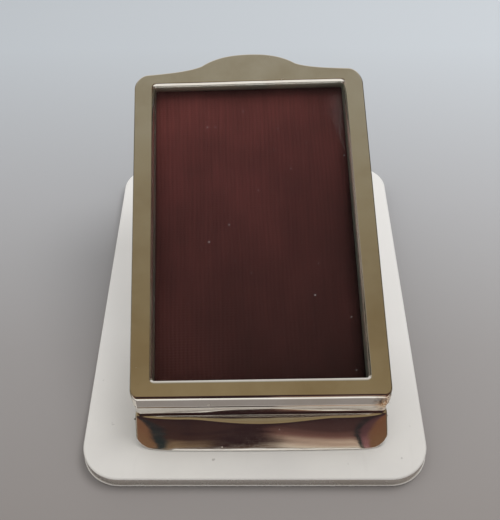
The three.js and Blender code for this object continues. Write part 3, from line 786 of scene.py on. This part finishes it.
def bed_point(x, row):
    """The same for the bed, which slopes up under the picture frame"""
    up = (BED_PLACES + [ARM_TAIL])[row - LIP_ROWS]
    along = Vector((0, math.cos(TILT), math.sin(TILT)))
    square = Vector((0, -math.sin(TILT), math.cos(TILT)))
    ledge = Vector((0, LEDGE_FOOT_Y, LEDGE_FOOT_HEIGHT)) - square * SEAT_GAP
    point = ledge + along * up + Vector((x, 0, 0))
    return point, max(CHEEK_DEPTH * (1 - up / CHEEK_LENGTH), CHEEK_LEAST), math.pi / 2 - TILT


def arm_point(x, turn, cheek, row):
    """A point of the arm's outer face, folded over and down the cheek at the arm's sides"""
    point, depth, slope = lip_point(x, turn, row) if row < LIP_ROWS else bed_point(x, row)
    inwards = Vector((0, math.cos(slope), -math.sin(slope)))
    point.x += math.copysign(1, x) * FOLD * math.sin(turn)
    return point + inwards * (FOLD * (1 - math.cos(turn)) + depth * cheek)


def clip_arm():
    columns = arm_columns()
    rows = LIP_ROWS + len(BED_PLACES) + 1
    bm = bmesh.new()
    bmesh.ops.create_grid(bm, x_segments=len(columns) - 1, y_segments=rows - 1, size=0.5)
    for v in bm.verts:
        column = round((v.co.x + 0.5) * (len(columns) - 1))
        row = round((v.co.y + 0.5) * (rows - 1))
        v.co = arm_point(*columns[column], row)
    face_upwards(bm)
    lean_near_edges(bm)
    piece = finished("arm", bm, CLIP, "arm", ARM_SILVER, "clip_arm", sharp=60, open_shell=True)
    piece.data.materials.append(SHADED_EDGE_SILVER)
    # The lip's sideways faces low down, and the sheet's rim, take the dark copy: painted shade in place of the
    # bright plate that they would mirror
    for polygon in piece.data.polygons:
        low = polygon.center.z < PLATE_TOP + CREASE_HEIGHT
        polygon.material_index = 1 if low and abs((CLIP.inverted().to_3x3() @ polygon.normal).x) > 0.5 else 0
    thicken(piece, SHEET, even=False)
    piece.modifiers[0].material_offset_rim = 1


# Picture frame, in the frame's own place: x across, y up the slope, z square to it


def thumb_line():
    """The far edge from the left corner to the right one: ogee, dome, ogee"""
    corner = FRAME_HALF - FAR_CORNER
    foot = DOME_HALF_WIDTH
    shoulder = SHOULDER_RISE
    sweep = (corner + (foot - corner) * 0.74, SHOULDER_RISE * 0.24)
    rise = (foot * 0.72, shoulder + (DOME_RISE - shoulder) * 0.75)
    right = curve([(corner, 0), sweep, (foot, shoulder)], 10)[:-1]
    right += curve([(foot, shoulder), rise, (foot * 0.4, DOME_RISE), (0, DOME_RISE)], 14)
    return [(-x, y) for x, y in right[:-1]] + right[::-1]


def near_wall_profile():
    """The near wall from its foot up to the face, across (y, z): upright, then over in a wide soft edge"""
    def along(lean):
        return Vector((math.sin(TILT + math.radians(lean)), math.cos(TILT + math.radians(lean))))

    foot = [(0, WALL_UPRIGHT * share) for share in WALL_FOOT_SHARES]
    pieces = foot + WALL_STEP + WALL_OVER
    height = sum(along(lean).y * length for lean, length in pieces) * MM
    rest = (FRAME_DEPTH - height) / along(WALL_LEAN).y / MM
    points = [Vector((-WALL_OUT, 0))]
    for lean, length in foot + WALL_STEP + [(WALL_LEAN, rest)] + WALL_OVER:
        points.append(points[-1] + along(lean) * length * MM)
    return points


def shape_near_wall(bm):
    """Moves the near wall's rows to its profile, less and less around the corners"""
    outer = [v for v in bm.verts if v.co.y - FACE_NEAR < NEAR_CORNER + FACE_EDGE * 1.5]
    levels = sorted({round(v.co.z, 8) for v in outer})
    profile = near_wall_profile()
    for v in outer:
        level = levels.index(round(v.co.z, 8))
        rise = max(v.co.z - (FRAME_DEPTH - FACE_EDGE), 0)
        inset = FACE_EDGE - math.sqrt(max(FACE_EDGE ** 2 - rise ** 2, 0))
        beside = v.co.y - FACE_NEAR - inset
        share = min(max(1 - beside / NEAR_CORNER, 0), 1)
        target = profile[level]
        v.co.y += (target.x - FACE_NEAR - inset) * share
        v.co.z += (target.y - v.co.z) * share


def shape_window_near(window, near):
    """Gives the near side of the window a wide soft bevel"""
    rings = {}
    for v in window.verts:
        rings.setdefault(round(v.co.z, 8), []).append(v)
    own = Vector((near, FRAME_DEPTH))
    target = own.copy()
    for level, step, near_step in zip(sorted(rings, reverse=True)[1:], WINDOW_STEPS, WINDOW_NEAR_STEPS):
        own += Vector((step[0], -step[1])) * MM
        target += Vector((near_step[0], -near_step[1])) * MM
        for v in rings[level]:
            share = min(max(1 - (v.co.y - own.x) / WINDOW_FADE, 0), 1)
            v.co.y += (target.x - own.x) * share
            v.co.z += (target.y - own.y) * share


def roughen_solder(bm):
    """The soldered near right corner is lumpy"""
    for v in bm.verts:
        near = math.exp(-((v.co - SOLDER_PLACE).length / SOLDER_REACH) ** 2)
        if near > 0.01:
            lump = noise.noise(v.co / SOLDER_LUMP_SIZE) + 0.2
            v.co += Vector((0.4, -0.8, 0)) * lump * near * SOLDER_LUMPS


def frame_outline(bm):
    """The face's outline just under its rounded edge, with the thumb press drawn out of its far side"""
    level = FRAME_DEPTH - FACE_EDGE
    face = oblong(bm, -FRAME_HALF, FRAME_HALF, FACE_NEAR, FACE_FAR, level, (NEAR_CORNER, FAR_CORNER), 10)
    long_edges = [e for e in face.edges if e.calc_length() > FRAME_HALF]
    line = thumb_line()
    far_edge = [e for e in long_edges if min(v.co.y for v in e.verts) > FACE_FAR - MM]
    bmesh.ops.subdivide_edges(bm, edges=far_edge, cuts=len(line) - 2)
    straight = FRAME_HALF - FAR_CORNER + SAME_LINE
    far_verts = [v for v in bm.verts if v.co.y > FACE_FAR - SAME_LINE and abs(v.co.x) < straight]
    for v, (x, y) in zip(sorted(far_verts, key=lambda v: v.co.x), line):
        v.co.x = x
        v.co.y = FACE_FAR + y
    long_edges = [e for e in bm.edges if e.calc_length() > FRAME_HALF]
    near_edge = [e for e in long_edges if max(v.co.y for v in e.verts) < FACE_NEAR + MM]
    bmesh.ops.subdivide_edges(bm, edges=near_edge, cuts=NEAR_CUTS)


def frame_walls(bm):
    """Opens the face and draws the walls down from its rim, except across the slot in the far wall"""
    outer = widest(bm)
    inside = set(outer.edges)
    bmesh.ops.delete(bm, geom=[outer], context="FACES_ONLY")
    below = [e for e in rim_edges(bm) if e not in inside]
    below = pull(bm, below, (0, 0, FACE_EDGE - WALL_TOP))

    def over_slot(v):
        return v.co.y > FACE_FAR - FAR_CORNER and abs(v.co.x) < SLOT_HALF

    walls = [e for e in below if not all(over_slot(v) for v in e.verts)]
    steps = WALL_ROWS - 1
    for _ in range(steps):
        walls = pull(bm, walls, (0, 0, (WALL_TOP - FRAME_DEPTH) / steps))
    shape_near_wall(bm)
    roughen_solder(bm)
    strip = FAR_STRIP - WINDOW_BEVEL
    for v in bm.verts:
        share = min(max((v.co.y - FACE_FAR + strip) / strip, 0), 1)
        v.co.y += share * (FAR_OUT + FAR_SLANT * v.co.x / FRAME_HALF)


def window_edge(bm):
    """Adds the window's pressed edge, from a narrow flat border down to its foot"""
    window = bmesh.new()
    grow = WINDOW_BEVEL + WINDOW_HOLD
    half = FRAME_HALF - SIDE_STRIP + grow
    near, far = FACE_NEAR + NEAR_STRIP - grow, FACE_FAR - FAR_STRIP + grow
    oblong(window, -half, half, near, far, FRAME_DEPTH, (WINDOW_CORNER + grow,) * 2, 8)
    for width, drop in [(WINDOW_HOLD / MM, 0.0)] + WINDOW_STEPS:
        bmesh.ops.inset_region(
            window, faces=[widest(window)], use_boundary=True, use_even_offset=True,
            thickness=width * MM, depth=-drop * MM,
        )
    shape_window_near(window, FACE_NEAR + NEAR_STRIP - WINDOW_BEVEL)
    inner = min(window.faces, key=lambda f: f.calc_center_median().z)
    bmesh.ops.delete(window, geom=[inner], context="FACES_ONLY")
    spare = bpy.data.meshes.new("window")
    window.to_mesh(spare)
    window.free()
    bm.from_mesh(spare)
    bpy.data.meshes.remove(spare)


def frame_finish(polygon):
    """Which of the frame's four finishes a face has: its face, walls, and the window's collar and the side edges,
    these two in darker silver as painted shade
    """
    lean = math.degrees(polygon.normal.angle(FACE.to_3x3() @ Vector((0, 0, 1))))
    place = FACE.inverted() @ polygon.center
    if lean < 15:
        return 0
    in_window = abs(place.x) < FRAME_HALF - 3 * MM and FACE_NEAR + 2 * MM < place.y < FACE_FAR - 2 * MM
    # The window's collar: the darker grey-green silver, painted shade
    if in_window and lean > 68:
        return 2
    # Side edges: the darker olive silver, painted shade
    at_side = abs(place.x) > FRAME_HALF - 0.5 * MM and lean < 80
    return 3 if at_side else 1


def frame_face():
    bm = bmesh.new()
    frame_outline(bm)
    round_over(bm, FACE_EDGE, EDGE_ROWS)
    frame_walls(bm)
    window_edge(bm)
    loops = [e for e in rim_edges(bm) if all(abs(v.co.z - FRAME_DEPTH) < SAME_HEIGHT for v in e.verts)]
    bmesh.ops.triangle_fill(bm, edges=loops, use_beauty=True, use_dissolve=False)
    face_upwards(bm)
    lean_near_edges(bm, CLIP.inverted() @ FACE)
    piece = finished("picture_frame", bm, FACE, "arm", FACE_SILVER, "frame_front", open_shell=True)
    for material in (WALL_SILVER, SHADED_COLLAR_SILVER, SHADED_EDGE_SILVER):
        piece.data.materials.append(material)
    for polygon in piece.data.polygons:
        polygon.material_index = frame_finish(polygon)
    thicken(piece, FRONT_SHEET, even=False)


def cloth_sheet():
    low, high = extent("backing_cloth", FACE)
    width, length = high.x - low.x, high.y - low.y
    bm = bmesh.new()
    bmesh.ops.create_grid(bm, x_segments=50, y_segments=80, size=0.5)
    bmesh.ops.scale(bm, vec=(width, length, 1), verts=bm.verts)
    bmesh.ops.translate(bm, vec=(0, (low.y + high.y) / 2, high.z - CLOTH_DROP), verts=bm.verts)
    uv = bm.loops.layers.uv.new("weave")
    for face in bm.faces:
        for loop in face.loops:
            loop[uv].uv = (loop.vert.co.x / MM, loop.vert.co.y / MM)
    ripple(bm, 0.12 * MM, 14 * MM, (0, 0, 1), 4.2)
    face_upwards(bm)
    piece = finished("cloth", bm, FACE, "picture_pack", CLOTH, "backing_cloth", open_shell=True)
    thicken(piece, CLOTH_SHEET)


def glass_sheet():
    low, high = extent("glass_pane", FACE)
    bm = bmesh.new()
    oblong(bm, low.x, high.x, low.y, high.y, high.z, (PANE_CORNER,) * 2, 3)
    made = bmesh.ops.extrude_face_region(bm, geom=bm.faces[:])["geom"]
    verts = [g for g in made if isinstance(g, bmesh.types.BMVert)]
    bmesh.ops.translate(bm, vec=(0, 0, low.z - high.z), verts=verts)
    finished("pane", bm, FACE, "picture_pack", GLASS, "glass_pane", sharp=1)


# Hinge


def hinge_pin():
    low, high = extent("hinge_pin", CLIP)
    reach = high.x
    radius = (high.z - low.z) / 2
    head = [(radius * share, reach - drop * MM) for share, drop in RIVET_HEAD] + [(PIN_SHANK, reach - RIVET_HEIGHT)]
    profile = head + [(r, -x) for r, x in reversed(head)]
    bm = turned(profile, (1, 0, 0), HINGE, 40)
    finished("hinge_rivet", bm, CLIP, "base", STEEL, "hinge_pin", sharp=50)


def spacer_sleeve():
    end = extent("spacer_sleeve", CLIP)[1].x
    inner, outer, edge = 1.55 * MM, 2.35 * MM, 0.15 * MM
    profile = [
        (inner, -end), (outer - edge, -end), (outer, -end + edge), (outer, end - edge), (outer - edge, end),
        (inner, end), (inner, -end),
    ]
    bm = turned(profile, (1, 0, 0), HINGE, 40)
    finished("sleeve", bm, CLIP, "base", BRASS, "spacer_sleeve")


def turn_from(point, way):
    """The angle at which a straight leg to a point leaves the coil, on one side or the other"""
    return math.atan2(point.y, point.x) + way * math.acos(SPRING_RADIUS / point.length)


def spring_line():
    """The wire's middle line around the hinge: a leg on the plate, the coil, and a leg under the arm"""
    pin = Vector((HINGE.y, HINGE.z))
    foot = Vector((0, SPRING_FOOT))
    slope = Vector((math.cos(TILT), math.sin(TILT)))
    square = Vector((-math.sin(TILT), math.cos(TILT)))
    low_end = Vector((SPRING_LOW_REACH, SEAT_GAP - pin.y))
    low_knee = low_end + foot
    under = Vector((LEDGE_FOOT_Y, LEDGE_FOOT_HEIGHT)) + slope * SPRING_HIGH_PLACE
    high_end = under - square * (SHEET + 2 * SEAT_GAP) - pin
    high_knee = high_end - square * SPRING_FOOT
    start = turn_from(low_knee, -1)
    finish = turn_from(high_knee, 1) - 2 * math.pi * (SPRING_TURNS + 1)
    turns = (start - finish) / (2 * math.pi)
    side = turns * SPRING_PITCH / 2

    def leg(end, knee, leave):
        root = Vector((math.cos(leave), math.sin(leave))) * SPRING_RADIUS
        up = (end - knee).normalized() * SPRING_BEND
        on = (root - knee).normalized() * SPRING_BEND
        knots = [Vector((*p, 0)) for p in (knee + up, knee + up / 3, knee + on / 3, knee + on)]
        corner = interpolate_bezier(*knots, 10)
        straight = [(knee + on).lerp(root, t) for t in (0.34, 0.67)]
        return [end] + [Vector((p.x, p.y)) for p in corner] + straight

    steps = round(turns * 36)
    line = [(-side, p) for p in leg(low_end, low_knee, start)]
    for i in range(steps + 1):
        angle = start + (finish - start) * i / steps
        line.append((side * (2 * i / steps - 1), Vector((math.cos(angle), math.sin(angle))) * SPRING_RADIUS))
    line += [(side, p) for p in reversed(leg(high_end, high_knee, finish))]
    return [Vector((x, p.x + pin.x, p.y + pin.y)) for x, p in line], side


def torsion_spring():
    """A round wire along the spring's line; its legs follow the plate and the arm that they press on"""
    line, side = spring_line()
    sides = SPRING_SIDES
    bm = bmesh.new()
    bmesh.ops.create_grid(bm, x_segments=len(line) - 1, y_segments=sides, size=0.5)
    square = None
    rings = []
    for i, point in enumerate(line):
        ahead = (line[min(i + 1, len(line) - 1)] - line[max(i - 1, 0)]).normalized()
        square = ahead.orthogonal() if square is None else square - ahead * square.dot(ahead)
        square.normalize()
        other = ahead.cross(square)
        turns = [2 * math.pi * j / sides for j in range(sides)]
        rings.append([point + (square * math.cos(a) + other * math.sin(a)) * SPRING_WIRE / 2 for a in turns])
    for v in bm.verts:
        i, j = round((v.co.x + 0.5) * (len(line) - 1)), round((v.co.y + 0.5) * sides)
        v.co = rings[i][j % sides]
    bmesh.ops.remove_doubles(bm, verts=bm.verts, dist=0.0005 * MM)
    bmesh.ops.holes_fill(bm, edges=rim_edges(bm), sides=0)
    piece = finished("spring_wire", bm, CLIP, None, STEEL, "torsion_spring", sharp=50)
    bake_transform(piece)


# Room: pale floor, soft light, and the surroundings that the silver mirrors


def floor():
    bm = bmesh.new()
    bmesh.ops.create_grid(bm, x_segments=1, y_segments=1, size=6)
    mesh = bpy.data.meshes.new("floor")
    bm.to_mesh(mesh)
    bm.free()
    material, tree, shader = fresh_material("pale_floor")
    split = add(tree, "ShaderNodeSeparateXYZ", {}, Vector=object_place(tree))
    # Painted shade: the floor is darker near the camera and lighter far off
    near = (0.262, 0.240, 0.228)
    far = (0.50, 0.53, 0.56)
    tone = ramp(tree, span(tree, split.outputs["Y"], -60 * MM, 120 * MM), [
        (0.0, near), (0.25, (0.31, 0.295, 0.29)), (0.55, (0.40, 0.40, 0.41)), (1.0, far),
    ])
    # Painted light: a little lighter to the right
    across = span(tree, split.outputs["X"], -100 * MM, 100 * MM)
    sides = mixed(tree, across, (0.97, 0.97, 0.97, 1), (1.07, 1.07, 1.07, 1))
    tone = mixed(tree, 1.0, tone, sides, "MULTIPLY")
    # Only the silver sees the bright floor just before the plate and the dark one beyond that
    front = span(tree, split.outputs["Y"], -66 * MM, -82 * MM)
    beyond = span(tree, split.outputs["Y"], -190 * MM, -230 * MM)
    mirrored = tree.nodes.new("ShaderNodeLightPath").outputs["Is Glossy Ray"]
    lit = mixed(tree, times(tree, front, mirrored), tone, (0.93, 0.92, 0.89, 1))
    lit = mixed(tree, times(tree, beyond, mirrored), lit, (0.12, 0.085, 0.06, 1))
    paint(tree, shader, Base_Color=lit, Roughness=0.9, Specular_IOR_Level=0.1)
    mesh.materials.append(material)
    placed("floor", mesh)


DARK = (0.026, 0.013, 0.014)
TEAL = (0.018, 0.026, 0.026)
PALE = (0.62, 0.61, 0.59)

# What the silver mirrors straight ahead, by the angle up from the horizon in degrees, above the near things
OVERHEAD = [
    (68, DARK), (72, (0.27, 0.205, 0.112)), (79, (0.235, 0.178, 0.097)), (84, (0.205, 0.158, 0.089)),
    (92, (0.245, 0.205, 0.133)), (101, (0.300, 0.275, 0.212)), (113, (0.50, 0.48, 0.45)), (125, PALE),
    (180, (0.80, 0.80, 0.79)),
]


def surroundings():
    """A pale backdrop to the eye; soft bands of colour to what the silver mirrors"""
    world = bpy.data.worlds.new("studio")
    bpy.context.scene.world = world
    world.use_nodes = True
    tree = world.node_tree
    background = tree.nodes["Background"]
    direction = tree.nodes.new("ShaderNodeTexCoord").outputs["Generated"]
    split = add(tree, "ShaderNodeSeparateXYZ", {}, Vector=direction)
    x, y, z = (split.outputs[k] for k in "XYZ")
    back = times(tree, y, -1.0)
    angle = times(tree, math_node(tree, "ARCTAN2", z, back), 180 / math.pi)
    low = span(tree, angle, 60, 45)
    uneven = math_node(tree, "SUBTRACT", noise_node(tree, direction, 7.0, 3.0), 0.5)
    angle = plus(tree, angle, times(tree, times(tree, uneven, 22.0), low))
    uneven = math_node(tree, "SUBTRACT", noise_node(tree, stretched(tree, direction, (5, 11, 11)), 1.0, 3.0), 0.5)
    x = plus(tree, x, times(tree, uneven, 0.10))
    turn = span(tree, angle, 0, 180)

    def stripes(*near):
        return ramp(tree, turn, [(a / 180, c) for a, c in (*near, *OVERHEAD)])

    middle = stripes((0, (0.075, 0.040, 0.027)), (3, (0.045, 0.025, 0.020)), (8, DARK))
    left = stripes((0, (0.19, 0.130, 0.075)), (7, (0.16, 0.105, 0.062)), (15, (0.045, 0.022, 0.018)))
    right = stripes(
        (0, (0.62, 0.54, 0.44)), (8, (0.42, 0.31, 0.24)), (18, (0.16, 0.08, 0.065)), (33, (0.055, 0.027, 0.025)),
    )
    teal = stripes((0, (0.06, 0.060, 0.050)), (6, TEAL))
    copper = stripes((0, (0.17, 0.095, 0.050)), (30, (0.15, 0.068, 0.038)), (55, (0.13, 0.058, 0.036)))
    mauve = stripes((0, (0.34, 0.19, 0.18)), (8, (0.22, 0.10, 0.105)), (25, (0.09, 0.042, 0.045)))
    # The bands from left to right, by how far the direction points sideways
    bands = [
        (-0.33, copper), (-0.30, teal), (-0.23, teal), (-0.19, left), (-0.10, left), (-0.06, middle), (0.02, middle),
        (0.075, right), (0.18, right), (0.205, teal), (0.24, teal), (0.26, mauve), (0.32, mauve), (0.36, copper),
    ]
    front = copper
    for (start, before), (stop, colour) in zip(bands, bands[1:]):
        if before is not colour:
            front = mixed(tree, span(tree, x, start, stop), front, colour)
    leftwards = mixed(tree, span(tree, z, 0.45, 0.85), (0.40, 0.365, 0.31, 1), (0.25, 0.22, 0.16, 1))
    rightwards = mixed(tree, span(tree, z, 0.45, 0.85), (0.10, 0.065, 0.045, 1), (0.22, 0.19, 0.13, 1))
    aside = mixed(tree, span(tree, x, -0.01, 0.01), leftwards, rightwards)
    seen = mixed(tree, span(tree, math_node(tree, "ABSOLUTE", x), 0.48, 0.62), front, aside)
    path = tree.nodes.new("ShaderNodeLightPath")
    mirrored = plus(tree, path.outputs["Is Glossy Ray"], path.outputs["Is Transmission Ray"], clamp=True)
    put(tree, background.inputs["Color"], mixed(tree, mirrored, (0.80, 0.80, 0.80, 1), seen))


def lamp(name, place, target, size, power):
    data = bpy.data.lights.new(name, "AREA")
    data.shape = "DISK"
    data.size = size
    data.energy = power
    made = placed(name, data)
    made.location = place
    made.rotation_mode = "QUATERNION"
    made.rotation_quaternion = (Vector(target) - Vector(place)).to_track_quat("-Z", "Y")
    made.visible_glossy = False


def camera():
    """At the photograph's place, fitted to the plate's corners"""
    place = Vector((0.96, -129.86, 160.76)) * MM
    yaw, pitch, roll = (math.radians(a) for a in (-0.893, 47.813, 0.835))
    focal_pixels, long_side, sensor = 790, 520, 36
    ahead = Vector((math.sin(yaw) * math.cos(pitch), math.cos(yaw) * math.cos(pitch), -math.sin(pitch)))
    right = Vector((math.cos(yaw), -math.sin(yaw), 0))
    down = ahead.cross(right)
    rolled_right = right * math.cos(roll) + down * math.sin(roll)
    rolled_down = down * math.cos(roll) - right * math.sin(roll)
    data = bpy.data.cameras.new("photo_view")
    data.sensor_width = sensor
    data.sensor_fit = "AUTO"
    data.lens = focal_pixels * sensor / long_side
    data.clip_start, data.clip_end = 0.01, 20
    made = placed("photo_view", data)
    turn = Matrix((rolled_right, -rolled_down, -ahead)).transposed()
    made.matrix_world = Matrix.Translation(place) @ turn.to_4x4()
    bpy.context.scene.camera = made


# Frame nodes that keep their own shape


def dress(material, *nodes):
    for node in nodes:
        mesh = frame["nodes"][node].data
        mesh.materials.clear()
        mesh.materials.append(material)


def main():
    camera()
    surroundings()
    lamp("key", (0.25, 0.15, 0.60), (0, 0, 0.02), 0.35, 1.6)
    floor()
    base_plate()
    clip_arm()
    frame_face()
    cloth_sheet()
    glass_sheet()
    hinge_pin()
    spacer_sleeve()
    torsion_spring()
    dress(BAIZE, "base_pad")
    dress(UNDER_SILVER, "base_lug_left", "base_lug_right", "arm_lug_left", "arm_lug_right")
    dress(RAIL_WOOD_ALONG, "side_rail_left", "side_rail_right")
    dress(RAIL_WOOD_ACROSS, "near_rail")
    dress(BOARD, "backing_board")
    for side in ("left", "right"):
        dress(TRIM_SILVER, *["side_pin_%s_%d" % (side, i) for i in (1, 2, 3)])
        dress(BRASS, *["arm_screw_%s_%d" % (side, i) for i in (1, 2)])


main()
bpy.context.scene.view_settings.view_transform = "Standard"
